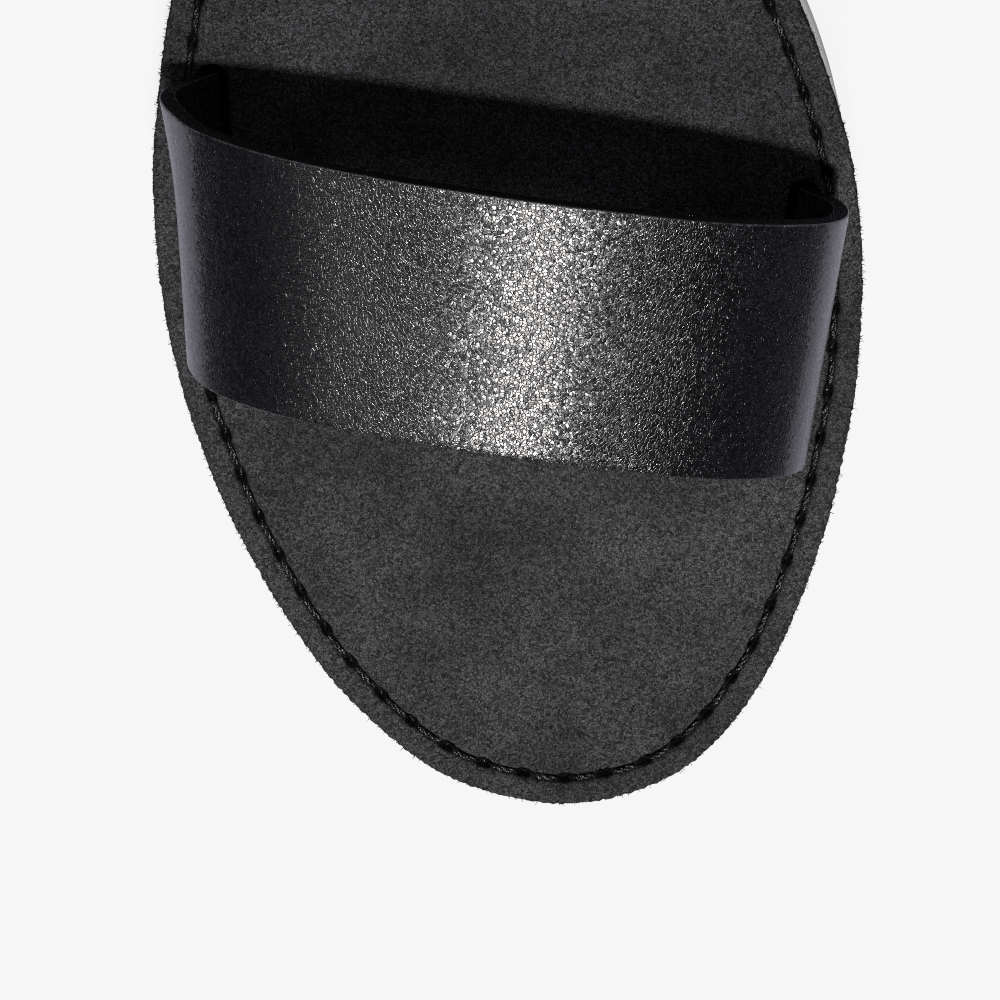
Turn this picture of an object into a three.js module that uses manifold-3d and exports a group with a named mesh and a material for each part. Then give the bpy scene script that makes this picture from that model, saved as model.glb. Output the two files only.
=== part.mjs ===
import * as THREE from 'three';
import { mergeVertices } from 'three/addons/utils/BufferGeometryUtils.js';
import Module from 'manifold-3d';

// A flat slide sandal for the right foot: a cut leather footbed, one wide leather strap whose
// ends go down through two slots in it, and a moulded outsole stitched on underneath.
// Millimetres, +Z up, toe at -Y, heel at +Y, the inner side of the foot at +X.

// Sole
const length = 250;
const ballWidth = 88;
const footbedThickness = 4;
const outsoleThickness = 8.2;
const bondGap = 0.3;
const outsoleLip = 0.2;
const toeSpring = 5.2;
const toeThinning = 1.4;
const heelLift = 4.5;
const archLift = 2.4;
const footbedEdgeRound = 0.8;
const footbedUnderRound = 0.3;
const outsoleGroundRound = 1.2;
const outlineStepsPerRow = 4;

// Strap
const strapWidth = 32.6;
const strapThickness = 2;
const strapCrown = 37;
const strapConeDrop = 4;
const strapLean = 1.2;
const strapEdgeRound = 0.4;
const strapSteps = 48;
const bendSteps = 6;
const tabLength = 16;
const tabClearance = 0.3;

// Slots
const slotPlay = 1.1;
const slotOuterPlay = 0.5;
const slotEndPlay = 0.9;
const slotEndSteps = 8;
const slotCutOver = 2;

// Colours and roughness of the pieces
const finishes = {
  outsole: { color: 0xa3a29d, roughness: 0.8 },
  footbed: { color: 0x2b2b2d, roughness: 0.6 },
  strap: { color: 0x17161a, roughness: 0.35 },
};

// The sole's plan: station is a share of the length from the toe, and lateral and medial are
// the edge's distances from the middle of the ball as shares of the ball width.
const toeTip = 0.082;
const heelTip = -0.046;
const outlineRows = [
  { station: 0.01, lateral: 0.06, medial: 0.211 },
  { station: 0.03, lateral: 0.156, medial: 0.292 },
  { station: 0.07, lateral: 0.267, medial: 0.3745 },
  { station: 0.13, lateral: 0.3726, medial: 0.4427 },
  { station: 0.2, lateral: 0.4503, medial: 0.4861 },
  { station: 0.26, lateral: 0.4868, medial: 0.4986 },
  { station: 0.32, lateral: 0.497, medial: 0.4858 },
  { station: 0.38, lateral: 0.4817, medial: 0.4366 },
  { station: 0.44, lateral: 0.452, medial: 0.367 },
  { station: 0.52, lateral: 0.415, medial: 0.3 },
  { station: 0.61, lateral: 0.391, medial: 0.27 },
  { station: 0.71, lateral: 0.385, medial: 0.274 },
  { station: 0.81, lateral: 0.389, medial: 0.292 },
  { station: 0.89, lateral: 0.378, medial: 0.29 },
  { station: 0.945, lateral: 0.33, medial: 0.243 },
  { station: 0.985, lateral: 0.212, medial: 0.122 },
];

// The sole from the side: spring, lift and arch are shares of toeSpring, heelLift and archLift.
const profileRows = [
  { station: 0, spring: 1, lift: 0, arch: 0 },
  { station: 0.06, spring: 0.48, lift: 0, arch: 0 },
  { station: 0.12, spring: 0.12, lift: 0, arch: 0 },
  { station: 0.18, spring: 0, lift: 0, arch: 0 },
  { station: 0.38, spring: 0, lift: 0, arch: 0 },
  { station: 0.46, spring: 0, lift: 0.12, arch: 0.4 },
  { station: 0.56, spring: 0, lift: 0.46, arch: 1 },
  { station: 0.66, spring: 0, lift: 0.82, arch: 0.7 },
  { station: 0.74, spring: 0, lift: 1, arch: 0 },
  { station: 1, spring: 0, lift: 1, arch: 0 },
];

// Where the strap's two legs go down: side is -1 on the outer side of the foot and 1 on the
// inner, station is the leg's middle as a share of the length, inset is from the sole's edge
// to the leg's middle, and toeIn is the slot's turn towards the middle of the toe in degrees.
const legs = [
  { side: -1, station: 0.309, inset: 7.9, toeIn: 2.5 },
  { side: 1, station: 0.251, inset: 9.2, toeIn: 8 },
];

// Half of the strap's arch, from a leg at the footbed up to the crown: out is a share of half
// the distance between the legs, up of the crown's height, slant of the legs' fore and aft offset.
const archRows = [
  { out: 1, up: 0, slant: 1 },
  { out: 1.035, up: 0.08, slant: 0.97 },
  { out: 1.075, up: 0.2, slant: 0.92 },
  { out: 1.09, up: 0.36, slant: 0.85 },
  { out: 1.07, up: 0.53, slant: 0.8 },
  { out: 1, up: 0.69, slant: 0.76 },
  { out: 0.86, up: 0.82, slant: 0.74 },
  { out: 0.64, up: 0.92, slant: 0.73 },
  { out: 0.34, up: 0.98, slant: 0.73 },
];
const archCrown = { out: 0, up: 1, slant: 0.73 };

const wasm = await Module();
wasm.setup();

function solidOf(geometry) {
  const plain = geometry.clone();
  plain.deleteAttribute('normal');
  plain.deleteAttribute('uv');
  const merged = mergeVertices(plain);
  return new wasm.Manifold(new wasm.Mesh({
    numProp: 3,
    vertProperties: new Float32Array(merged.attributes.position.array),
    triVerts: new Uint32Array(merged.index.array),
  }));
}

function geometryOf(solid) {
  const mesh = solid.getMesh();
  const geometry = new THREE.BufferGeometry();
  geometry.setAttribute('position', new THREE.BufferAttribute(mesh.vertProperties, 3));
  geometry.setIndex(new THREE.BufferAttribute(mesh.triVerts, 1));
  geometry.computeVertexNormals();
  return geometry;
}

// A closed body through rings of as many points each, with each end ring filled by a strip of
// triangles between the points that face each other across it.
function loft(rings) {
  const count = rings[0].length;
  const faces = [];
  for (let ring = 0; ring + 1 < rings.length; ring += 1) {
    for (let point = 0; point < count; point += 1) {
      const here = ring * count + point;
      const beside = ring * count + (point + 1) % count;
      faces.push(here, beside, beside + count, here, beside + count, here + count);
    }
  }
  const last = (rings.length - 1) * count;
  for (let low = 0, high = count - 1; low < high - 1; low += 1, high -= 1) {
    faces.push(low, high, low + 1, last + low, last + low + 1, last + high);
    if (high - low > 2) {
      faces.push(low + 1, high, high - 1, last + low + 1, last + high - 1, last + high);
    }
  }
  const geometry = new THREE.BufferGeometry().setFromPoints(rings.flat());
  geometry.setIndex(volumeOf(rings.flat(), faces) > 0 ? faces : faces.slice().reverse());
  return geometry;
}

function volumeOf(points, faces) {
  let sixfold = 0;
  for (let face = 0; face < faces.length; face += 3) {
    const [a, b, c] = faces.slice(face, face + 3).map((index) => points[index]);
    sixfold += a.dot(b.clone().cross(c));
  }
  return sixfold / 6;
}

// A smooth line through the profile rows that never swings past them, so flats stay flat.
function profileAt(column, station) {
  const rows = profileRows;
  const place = THREE.MathUtils.clamp(station, 0, 1);
  const last = rows.length - 2;
  const found = rows.findIndex((row) => row.station > place) - 1;
  const index = found < 0 ? last : found;
  const slope = (at) => {
    if (at < 0 || at > last) {
      return 0;
    }
    return (rows[at + 1][column] - rows[at][column]) / (rows[at + 1].station - rows[at].station);
  };
  const tangent = (before, after) => {
    return before * after > 0 ? 2 * before * after / (before + after) : 0;
  };
  const span = rows[index + 1].station - rows[index].station;
  const t = (place - rows[index].station) / span;
  const enter = index === 0 ? slope(0) : tangent(slope(index - 1), slope(index));
  const leave = index === last ? slope(last) : tangent(slope(index), slope(index + 1));
  return (2 * t ** 3 - 3 * t ** 2 + 1) * rows[index][column]
    + (t ** 3 - 2 * t ** 2 + t) * span * enter
    + (3 * t ** 2 - 2 * t ** 3) * rows[index + 1][column]
    + (t ** 3 - t ** 2) * span * leave;
}

const stationOf = (y) => (y + length / 2) / length;
const yOf = (station) => station * length - length / 2;

function groundAt(y) {
  const station = stationOf(y);
  return toeSpring * profileAt('spring', station) + archLift * profileAt('arch', station);
}

function seatAt(y) {
  const station = stationOf(y);
  return outsoleThickness + bondGap + footbedThickness
    + (toeSpring - toeThinning) * profileAt('spring', station)
    + heelLift * profileAt('lift', station);
}

const footbedUnderAt = (y) => seatAt(y) - footbedThickness;
const outsoleTopAt = (y) => footbedUnderAt(y) - bondGap;

// The plan outline, from the toe along the inner side to the heel and back along the outer side.
function soleOutline() {
  const edgePoint = (share, station) => new THREE.Vector3(share * ballWidth, yOf(station), 0);
  const inner = outlineRows.map((row) => edgePoint(row.medial, row.station));
  const outer = outlineRows.map((row) => edgePoint(-row.lateral, row.station)).reverse();
  const points = [edgePoint(toeTip, 0), ...inner, edgePoint(heelTip, 1), ...outer];
  const curve = new THREE.CatmullRomCurve3(points, true, 'centripetal');
  return curve.getPoints(points.length * outlineStepsPerRow).slice(0, -1);
}

const outline = soleOutline();

function inset(points, distance) {
  return points.map((point, index) => {
    const before = points.at(index - 1);
    const after = points[(index + 1) % points.length];
    const along = after.clone().sub(before).normalize();
    return new THREE.Vector3(point.x - along.y * distance, point.y + along.x * distance, 0);
  });
}

function edgeAt(side, station) {
  const y = yOf(station);
  const near = outline.filter((point) => point.x * side > 0).sort((a, b) => a.y - b.y);
  const above = near.findIndex((point) => point.y > y);
  const from = near[above - 1];
  const to = near[above];
  return THREE.MathUtils.mapLinear(y, from.y, to.y, from.x, to.x);
}

// A layer of the sole: each row is a ring of its edge, set in from the outline, at a height.
function soleLayer(edgeRows) {
  return loft(edgeRows.map((row) => inset(outline, row.inset).map((point) => {
    return new THREE.Vector3(point.x, point.y, row.height(point.y));
  })));
}

function footbedBlank() {
  const round = footbedEdgeRound;
  const corner = round * (1 - Math.SQRT1_2);
  return soleLayer([
    { inset: footbedUnderRound, height: (y) => footbedUnderAt(y) },
    { inset: 0, height: (y) => footbedUnderAt(y) + footbedUnderRound },
    { inset: 0, height: (y) => seatAt(y) - round },
    { inset: corner, height: (y) => seatAt(y) - corner },
    { inset: round, height: (y) => seatAt(y) },
  ]);
}

function outsoleBlank() {
  const round = outsoleGroundRound;
  const corner = round * (1 - Math.SQRT1_2);
  return soleLayer([
    { inset: round - outsoleLip, height: (y) => groundAt(y) },
    { inset: corner - outsoleLip, height: (y) => groundAt(y) + corner },
    { inset: -outsoleLip, height: (y) => groundAt(y) + round },
    { inset: -outsoleLip, height: (y) => outsoleTopAt(y) },
  ]);
}

// The strap's legs in plan: the leg's middle, and the way along its slot towards the heel.
const legLines = legs.map((leg) => {
  const turn = THREE.MathUtils.degToRad(leg.toeIn);
  return {
    side: leg.side,
    middle: new THREE.Vector3(edgeAt(leg.side, leg.station) - leg.side * leg.inset, yOf(leg.station), 0),
    heelward: new THREE.Vector3(leg.side * Math.sin(turn), Math.cos(turn), 0),
  };
});

// A point in the middle of the strap's wall. across runs from the toe edge at -1/2 to the
// heel edge at 1/2. A place holds out, up and slant as archRows does, with shift towards the
// other leg and drop under the footbed's top in millimetres for the hidden ends.
function wallPoint(place, across) {
  const [outer, inner] = legLines.map((leg) => {
    return leg.middle.clone().addScaledVector(leg.heelward, across * strapWidth);
  });
  const middle = outer.clone().add(inner).multiplyScalar(0.5);
  const half = inner.clone().sub(middle);
  const point = middle.clone().addScaledVector(half, place.out);
  point.y = middle.y + half.y * place.out * place.slant + strapLean * place.up;
  point.addScaledVector(half.clone().normalize(), -Math.sign(place.out) * place.shift);
  point.z = seatAt(point.y) + (strapCrown + strapConeDrop * across) * place.up - place.drop;
  return point;
}

// The path of one hidden end, from the tab's tip under the footbed up into its slot. The bend
// turns about the slot's lower inner edge, and the tab runs reach past the leg's inner face.
function hiddenPath(side, reach) {
  const radius = strapThickness / 2 + slotPlay;
  const tabDrop = footbedThickness + tabClearance + strapThickness / 2;
  const path = [{ out: side, up: 0, slant: 1, shift: strapThickness / 2 + reach, drop: tabDrop }];
  for (let step = 0; step <= bendSteps; step += 1) {
    const turn = (step / bendSteps) * Math.PI / 2;
    path.push({
      out: side,
      up: 0,
      slant: 1,
      shift: radius * (1 - Math.sin(turn)),
      drop: tabDrop - radius * (1 - Math.cos(turn)),
    });
  }
  return path;
}

function archPath() {
  const row = (values, side) => new THREE.Vector3(values.out * side, values.up, values.slant);
  const outer = archRows.map((values) => row(values, -1));
  const inner = archRows.map((values) => row(values, 1)).reverse();
  const curve = new THREE.CatmullRomCurve3([...outer, row(archCrown, 1), ...inner], false, 'centripetal');
  return curve.getPoints(strapSteps).map((point) => {
    return { out: point.x, up: point.y, slant: point.z, shift: 0, drop: 0 };
  });
}

// The strap's section at one place on a path: a thin oblong with its long edges eased, and
// grown all round when it is a tool that leaves room for the strap.
function wallRing(path, index, grow) {
  const half = strapThickness / 2 + grow;
  const edge = 0.5 + grow / strapWidth;
  const eased = edge - strapEdgeRound / strapWidth;
  const before = path[Math.max(index - 1, 0)];
  const after = path[Math.min(index + 1, path.length - 1)];
  const ring = [
    [eased, half], [eased / 3, half], [-eased / 3, half], [-eased, half],
    [-edge, half - strapEdgeRound], [-edge, strapEdgeRound - half],
    [-eased, -half], [-eased / 3, -half], [eased / 3, -half], [eased, -half],
    [edge, strapEdgeRound - half], [edge, half - strapEdgeRound],
  ];
  return ring.map(([across, out]) => {
    const along = wallPoint(after, across).sub(wallPoint(before, across));
    const widthways = wallPoint(path[index], 0.5).sub(wallPoint(path[index], -0.5));
    const outward = along.cross(widthways).normalize();
    return wallPoint(path[index], across).addScaledVector(outward, -out);
  });
}

const wallRings = (path, grow) => path.map((place, index) => wallRing(path, index, grow));

function strapPath() {
  return [...hiddenPath(-1, tabLength), ...archPath(), ...hiddenPath(1, tabLength).reverse()];
}

// The room that one hidden end needs in the outsole's top.
function tabPocket(side) {
  const top = { out: side, up: 0, slant: 1, shift: 0, drop: footbedThickness / 2 };
  const path = [...hiddenPath(side, tabLength + tabClearance), top];
  return solidOf(loft(wallRings(path, tabClearance)));
}

// A slot is as long as the strap is wide, with round ends, and its play lies on the inside.
function slotCut(leg) {
  const halfWidth = (strapThickness + slotPlay + slotOuterPlay) / 2;
  const halfRun = strapWidth / 2 + slotEndPlay - halfWidth;
  const shape = new THREE.Shape();
  shape.absarc(0, halfRun, halfWidth, 0, Math.PI, false);
  shape.absarc(0, -halfRun, halfWidth, Math.PI, 2 * Math.PI, false);
  const seat = seatAt(leg.middle.y);
  const depth = footbedThickness + 2 * slotCutOver;
  const geometry = new THREE.ExtrudeGeometry(shape, { depth, bevelEnabled: false, curveSegments: slotEndSteps });
  geometry.rotateZ(Math.atan2(-leg.heelward.x, leg.heelward.y));
  const sideways = -leg.side * (slotPlay - slotOuterPlay) / 2;
  geometry.translate(leg.middle.x + sideways, leg.middle.y, seat - footbedThickness - slotCutOver);
  return solidOf(geometry);
}

function footbed() {
  return legLines.reduce((rest, leg) => rest.subtract(slotCut(leg)), solidOf(footbedBlank()));
}

function outsole() {
  return legLines.reduce((rest, leg) => rest.subtract(tabPocket(leg.side)), solidOf(outsoleBlank()));
}

function strap() {
  return solidOf(loft(wallRings(strapPath(), 0)));
}

// The origin is under the middle of the sole's box.
const across = outline.map((point) => point.x);
const middleX = (Math.min(...across) + Math.max(...across)) / 2;

function piece(name, solid) {
  const material = new THREE.MeshStandardMaterial({ ...finishes[name], metalness: 0 });
  const mesh = new THREE.Mesh(geometryOf(solid), material);
  mesh.name = name;
  mesh.position.x = -middleX;
  return mesh;
}

const sandal = new THREE.Group();
sandal.add(piece('outsole', outsole()));
sandal.add(piece('footbed', footbed()));
sandal.add(piece('strap', strap()));

export default sandal;
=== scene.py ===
import math
import random

import bmesh
import bpy
import numpy as np
from mathutils import Matrix, Vector, noise


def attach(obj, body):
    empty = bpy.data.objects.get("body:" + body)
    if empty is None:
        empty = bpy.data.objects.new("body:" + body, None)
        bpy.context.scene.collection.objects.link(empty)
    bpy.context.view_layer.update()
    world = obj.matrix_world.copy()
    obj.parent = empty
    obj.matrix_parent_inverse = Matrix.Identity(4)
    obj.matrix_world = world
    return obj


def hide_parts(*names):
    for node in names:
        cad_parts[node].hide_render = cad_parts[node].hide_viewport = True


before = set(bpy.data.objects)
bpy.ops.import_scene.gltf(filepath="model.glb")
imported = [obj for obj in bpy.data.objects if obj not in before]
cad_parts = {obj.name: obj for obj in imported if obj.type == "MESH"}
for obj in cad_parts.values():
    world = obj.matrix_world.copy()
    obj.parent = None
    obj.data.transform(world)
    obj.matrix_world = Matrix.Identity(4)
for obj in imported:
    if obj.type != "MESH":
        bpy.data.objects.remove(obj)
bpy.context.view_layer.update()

# Footbed. One layer of 4 mm black leather cut to the plan of the last, with its raw edge left
# open. Two slots are punched near its sides for the strap. Stitches in a groove round the rim
# hold it to the outsole, and the leather swells a little between their holes.
sole_length = 0.250
ball_width = 0.088
footbed_thickness = 0.004
seat_rise = 0.0125
toe_rise = 0.0038
heel_rise = 0.0045
toe_tip = 0.082
heel_tip = -0.046
plan_rows = [
    # station, lateral, medial
    (0.010, 0.0600, 0.2110),
    (0.030, 0.1560, 0.2920),
    (0.070, 0.2670, 0.3745),
    (0.130, 0.3726, 0.4427),
    (0.200, 0.4503, 0.4861),
    (0.260, 0.4868, 0.4986),
    (0.320, 0.4970, 0.4858),
    (0.380, 0.4817, 0.4366),
    (0.440, 0.4520, 0.3670),
    (0.520, 0.4150, 0.3000),
    (0.610, 0.3910, 0.2700),
    (0.710, 0.3850, 0.2740),
    (0.810, 0.3890, 0.2920),
    (0.890, 0.3780, 0.2900),
    (0.945, 0.3300, 0.2430),
    (0.985, 0.2120, 0.1220),
]
spring_rows = [(0, 1), (0.06, 0.48), (0.12, 0.12), (0.18, 0), (1, 0)]
lift_rows = [(0, 0), (0.38, 0), (0.46, 0.12), (0.56, 0.46), (0.66, 0.82), (0.74, 1), (1, 1)]
rim_step = 0.00022
rim_width = 0.0044
rim_blend = 0.0003
cross_cuts = 70
groove_inset = 0.0034
groove_width = 0.00042
groove_depth = 0.0009
groove_wander = 0.00018
stitch_length = 0.0058
hole_width = 0.00058
hole_length = 0.0008
hole_depth = 0.0016
swell_height = 0.00030
groove_lip_height = 0.00010
tuck_depth = 0.00016
ripple_height = 0.00005
long_wave_height = 0.00010
short_wave_height = 0.00020
slot_play = 0.0011
slot_outer_play = 0.0005
slot_end_play = 0.0009
strap_width = 0.0326
strap_thickness = 0.002
leg_rows = [
    # side, station, inset from the edge, toe-in in degrees
    (-1, 0.309, 0.0079, 2.5),
    (1, 0.251, 0.0092, 8),
]


def smooth_closed(points, steps):
    """A smooth closed line through the points that doesn't swing out between close ones."""
    line = []
    for index in range(len(points)):
        p0, p1, p2, p3 = (points[(index + shift) % len(points)] for shift in (-1, 0, 1, 2))
        d0, d1, d2 = (math.sqrt((b - a).length) for a, b in ((p0, p1), (p1, p2), (p2, p3)))
        enter = ((p1 - p0) / d0 - (p2 - p0) / (d0 + d1) + (p2 - p1) / d1) * d1
        leave = ((p2 - p1) / d1 - (p3 - p1) / (d1 + d2) + (p3 - p2) / d2) * d1
        for step in range(steps):
            t = step / steps
            near = (2 * t**3 - 3 * t**2 + 1) * p1 + (t**3 - 2 * t**2 + t) * enter
            line.append(near + (3 * t**2 - 2 * t**3) * p2 + (t**3 - t**2) * leave)
    return line


def smooth_rows(rows, station):
    """The value at a station, on a smooth line that keeps flat stretches flat."""
    last = len(rows) - 2
    index = min(max(sum(row[0] <= station for row in rows) - 1, 0), last)
    slopes = [(b[1] - a[1]) / (b[0] - a[0]) for a, b in zip(rows, rows[1:])]

    def tangent(before, after):
        return 2 * before * after / (before + after) if before * after > 0 else 0

    enter = tangent(slopes[index - 1], slopes[index]) if index else slopes[0]
    leave = tangent(slopes[index], slopes[index + 1]) if index < last else slopes[last]
    span = rows[index + 1][0] - rows[index][0]
    t = (min(max(station, 0), 1) - rows[index][0]) / span
    low = (2 * t**3 - 3 * t**2 + 1) * rows[index][1] + (t**3 - 2 * t**2 + t) * span * enter
    return low + (3 * t**2 - 2 * t**3) * rows[index + 1][1] + (t**3 - t**2) * span * leave


def station_at(y):
    return y / sole_length + 0.5


def seat_height(y):
    station = station_at(y)
    toe = toe_rise * smooth_rows(spring_rows, station)
    heel = heel_rise * smooth_rows(lift_rows, station)
    return seat_rise + toe + heel


def plan_point(share, station):
    return Vector((share * ball_width, (station - 0.5) * sole_length, 0))


plan_points = [plan_point(toe_tip, 0)]
plan_points += [plan_point(medial, station) for station, lateral, medial in plan_rows]
plan_points += [plan_point(heel_tip, 1)]
plan_points += [plan_point(-lateral, station) for station, lateral, medial in reversed(plan_rows)]
rough_line = smooth_closed(plan_points, 40)
middle_x = (min(point.x for point in rough_line) + max(point.x for point in rough_line)) / 2
ring = np.array([(point.x - middle_x, point.y) for point in rough_line + rough_line[:1]])
run = np.concatenate(([0], np.cumsum(np.linalg.norm(np.diff(ring, axis=0), axis=1))))
rim_length = run[-1]
rim_count = round(rim_length / rim_step)
stitch_count = round(rim_length / stitch_length)


def rim_place(distance):
    """The edge of the plan at a distance round it from the toe, and the way in from there."""
    spot = np.array([distance - rim_step, distance, distance + rim_step]) % rim_length
    x, y = np.interp(spot, run, ring[:, 0]), np.interp(spot, run, ring[:, 1])
    way = Vector((y[0] - y[2], x[2] - x[0], 0)).normalized()
    return Vector((x[1], y[1], 0)), way


rim_places = [rim_place(index * rim_length / rim_count) for index in range(rim_count)]


def edge_x(side, station):
    """How far out the plan's edge is on one side, at a station along the sole."""
    y = (station - 0.5) * sole_length
    near = sorted((place.y, place.x) for place, way in rim_places if place.x * side > 0)
    return float(np.interp(y, [spot[0] for spot in near], [spot[1] for spot in near]))


def bell(distance, width):
    return math.exp(-((distance / width) ** 2))


def trough(distance, width):
    """Like a bell, with a flatter floor and steeper sides."""
    return math.exp(-((distance / width) ** 4))


random.seed(11)
pull = [random.uniform(0.45, 1.0) for stitch in range(stitch_count)]
hole_drift = [random.uniform(-0.06, 0.06) for stitch in range(stitch_count)]


def groove_at(distance):
    """The groove's own small wander in and out."""
    return groove_inset + groove_wander * noise.noise(Vector((distance * 160, 3.1, 0)))


def rim_relief(distance, inset):
    """How far the leather's top stands up or sinks near the edge: groove, holes, swells, tucks."""
    share = distance / rim_length * stitch_count
    stitch = int(share) % stitch_count
    along = share - int(share)
    past_hole = along - hole_drift[stitch]
    to_next_hole = 1 - along + hole_drift[(stitch + 1) % stitch_count]
    from_hole = min(past_hole, to_next_hole, key=abs) * stitch_length
    away = inset - groove_at(distance)
    grain = noise.noise(Vector((distance * 900, inset * 900, 0)))
    height = -groove_depth * trough(away, groove_width) * (1 + 0.3 * grain)
    height -= hole_depth * trough(away, hole_width) * trough(from_hole, hole_length)
    swell = math.sin(math.pi * along) ** 2 * pull[stitch]
    height += swell_height * swell * bell(inset - 0.0021, 0.0008)
    height += groove_lip_height * swell * bell(away - 0.0007, 0.0003)
    height -= tuck_depth * bell(from_hole, 0.0010) * bell(inset - 0.0024, 0.001)
    ripple = noise.noise(Vector((distance * 420, inset * 1900, 5.0)))
    height += ripple_height * ripple * bell(inset - 0.0014, 0.0010)
    return height * min(1, (rim_width - inset) / rim_blend)


def edge_wander(distance, depth):
    """The raw cut edge isn't quite even: it moves in and out along the rim and down the cut."""
    long_wave = noise.noise(Vector((distance * 90, depth * 60, 1.7)))
    short_wave = noise.noise(Vector((distance * 1900, depth * 500, 8.2)))
    return long_wave_height * long_wave + short_wave_height * short_wave


def new_mesh(name, bm, materials):
    """A piece of the sandal from a finished bmesh, its faces pointing outwards."""
    bmesh.ops.recalc_face_normals(bm, faces=bm.faces)
    mesh = bpy.data.meshes.new(name)
    bm.to_mesh(mesh)
    bm.free()
    mesh.shade_smooth()
    for material in materials:
        mesh.materials.append(material)
    piece = bpy.data.objects.new(name, mesh)
    bpy.context.scene.collection.objects.link(piece)
    return piece


def loop_of(bm, points):
    """A closed line of edges through points in order; place remembers each point's number."""
    place = bm.verts.layers.int.get("place") or bm.verts.layers.int.new("place")
    verts = []
    for index, point in enumerate(points):
        vert = bm.verts.new(point)
        vert[place] = index
        verts.append(vert)
    return [bm.edges.new((verts[index - 1], verts[index])) for index in range(len(verts))]


def raise_loop(bm, edges, move):
    """Draws a wall out of a closed line of edges, each new point put where move says."""
    place = bm.verts.layers.int["place"]
    drawn = bmesh.ops.extrude_edge_only(bm, edges=edges)["geom"]
    for vert in drawn:
        if isinstance(vert, bmesh.types.BMVert):
            vert.co = move(vert[place])
    return [edge for edge in drawn if isinstance(edge, bmesh.types.BMEdge)]


def fill_face(bm, edges, height_at):
    """Fills closed lines, holes left open, cuts the filling across and bends it to the height."""
    mark = bm.faces.layers.int.get("filling") or bm.faces.layers.int.new("filling")
    number = max((face[mark] for face in bm.faces), default=0) + 1
    kept = {vert: vert.co.z for edge in edges for vert in edge.verts}
    for vert in kept:
        vert.co.z = 0
    bmesh.ops.scale(bm, vec=(1000, 1000, 1000), verts=bm.verts)
    filled = bmesh.ops.triangle_fill(bm, use_beauty=True, use_dissolve=False, edges=edges)["geom"]
    bmesh.ops.scale(bm, vec=(0.001, 0.001, 0.001), verts=bm.verts)
    for part in filled:
        if isinstance(part, bmesh.types.BMFace):
            part[mark] = number
    for index in range(1, cross_cuts):
        spot = Vector((0, (index / cross_cuts - 0.5) * sole_length, 0))
        faces = [face for face in bm.faces if face[mark] == number]
        geom = set(faces)
        for face in faces:
            geom.update(face.edges)
            geom.update(face.verts)
        bmesh.ops.bisect_plane(bm, geom=list(geom), dist=1e-7, plane_co=spot, plane_no=Vector((0, 1, 0)))
    for vert in {vert for face in bm.faces if face[mark] == number for vert in face.verts}:
        vert.co.z = kept[vert] if vert in kept else height_at(vert.co.y)


def rim_point(index, inset, height):
    """A point in from the sandal's edge, at a height from the seat."""
    place, way = rim_places[index]
    point = place + way * inset
    point.z = seat_height(point.y) + height
    return point


def slot_line(side, station, inset, toe_in):
    """A punched slot: a circle pulled apart along the strap's leg, as points round it."""
    half_width = (strap_thickness + slot_play + slot_outer_play) / 2
    half_run = strap_width / 2 + slot_end_play - half_width
    bm = bmesh.new()
    bmesh.ops.create_circle(bm, segments=40, radius=half_width)
    for vert in bm.verts:
        vert.co.y += math.copysign(half_run, vert.co.y)
    long_edges = [edge for edge in bm.edges if edge.calc_length() > half_run]
    bmesh.ops.subdivide_edges(bm, edges=long_edges, cuts=60)
    middle = Vector((edge_x(side, station) - side * inset, (station - 0.5) * sole_length, 0))
    middle.x -= side * (slot_play - slot_outer_play) / 2
    turn = Matrix.Rotation(-side * math.radians(toe_in), 4, "Z")
    bmesh.ops.transform(bm, matrix=Matrix.Translation(middle) @ turn, verts=bm.verts)
    bm.verts.ensure_lookup_table()
    here, line, seen = bm.verts[0], [], set()
    while here is not None:
        line.append(here.co.copy())
        seen.add(here)
        beside = [edge.other_vert(here) for edge in here.link_edges]
        here = next((vert for vert in beside if vert not in seen), None)
    bm.free()
    return line, middle


def slot_move(line, middle, grow, height):
    """Where a slot's points go when it is opened out by grow, at a height from the seat."""

    def move(index):
        before, after = line[index - 1], line[(index + 1) % len(line)]
        way = Vector((after.y - before.y, before.x - after.x, 0)).normalized()
        out = way if way.dot(line[index] - middle) > 0 else -way
        point = line[index] + out * grow
        point.z = seat_height(point.y) + height
        return point

    return move


slot_lines = [slot_line(*row) for row in leg_rows]


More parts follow.
